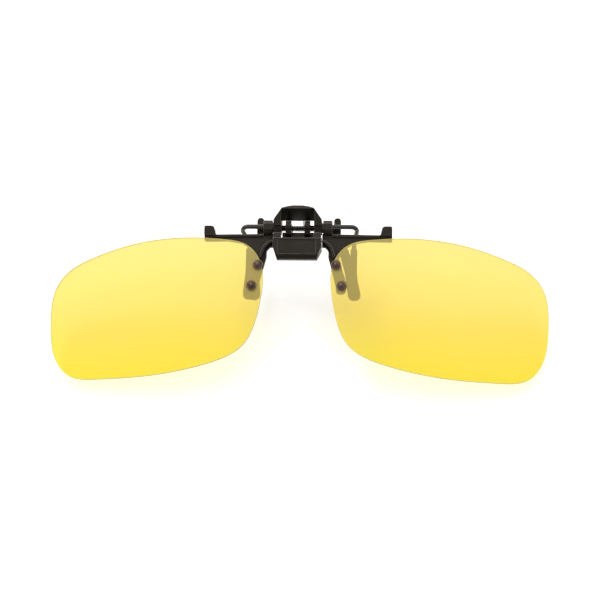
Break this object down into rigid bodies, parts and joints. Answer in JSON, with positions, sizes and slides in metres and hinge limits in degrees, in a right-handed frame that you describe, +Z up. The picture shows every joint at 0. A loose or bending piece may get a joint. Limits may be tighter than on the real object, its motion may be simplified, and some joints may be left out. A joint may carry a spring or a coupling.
{
  "type": "clip on flip lenses",
  "caption": "Rimless yellow lenses on a spring clamp that grips the bridge of spectacles and lets the lenses flip up on a hinge.",
  "frame": {"origin": "centre of the flat rear face of the clamp crossbar, which rests against the bridge of the spectacles", "axes": "+X to the right seen from the front along the row of lenses, +Y from the lenses towards the wearer, +Z up as worn"},
  "size_m": [0.1312, 0.0136, 0.0456],
  "materials": {
    "moulded_plastic": "satin moulded nylon, warm black",
    "lens_tint": "polished transparent plastic with a yellow tint that deepens downwards",
    "rivet_metal": "dark bronze plated dome",
    "clear_washer": "clear soft plastic",
    "nylon_washer": "black nylon",
    "coated_wire": "gloss black coated steel wire",
    "soft_sleeve": "translucent smoky silicone",
    "shaft_steel": "blackened steel pin",
    "spring_steel": "blackened spring steel"
  },
  "bodies": {
    "front_jaw": {"front_jaw": "moulded_plastic", "left_front_sleeve": "soft_sleeve", "right_front_sleeve": "soft_sleeve", "clamp_spring": "spring_steel"},
    "rear_jaw": {"rear_jaw_lever": "moulded_plastic", "left_rear_wire": "coated_wire", "right_rear_wire": "coated_wire", "left_rear_sleeve": "soft_sleeve", "right_rear_sleeve": "soft_sleeve"},
    "lens_frame": {"hinge_shaft": "shaft_steel", "left_lens_bracket": "moulded_plastic", "right_lens_bracket": "moulded_plastic", "left_lens": "lens_tint", "right_lens": "lens_tint", "left_lens_rivets": "rivet_metal", "right_lens_rivets": "rivet_metal", "left_lens_washers": "clear_washer", "right_lens_washers": "clear_washer", "left_friction_washer": "nylon_washer", "right_friction_washer": "nylon_washer"}
  },
  "joints": [
    {"name": "clamp_open", "type": "hinge", "parent": "front_jaw", "child": "rear_jaw", "pos_m": [0, -0.005, -0.0009], "axis": [1, 0, 0], "range_deg": [-6.5, 30], "stiffness_Nm_per_rad": 0.012, "springref_deg": -60.16, "deforming": ["clamp_spring"]},
    {"name": "lens_flip", "type": "hinge", "parent": "front_jaw", "child": "lens_frame", "pos_m": [0, -0.005, -0.0009], "axis": [-1, 0, 0], "range_deg": [0, 95]}
  ]
}
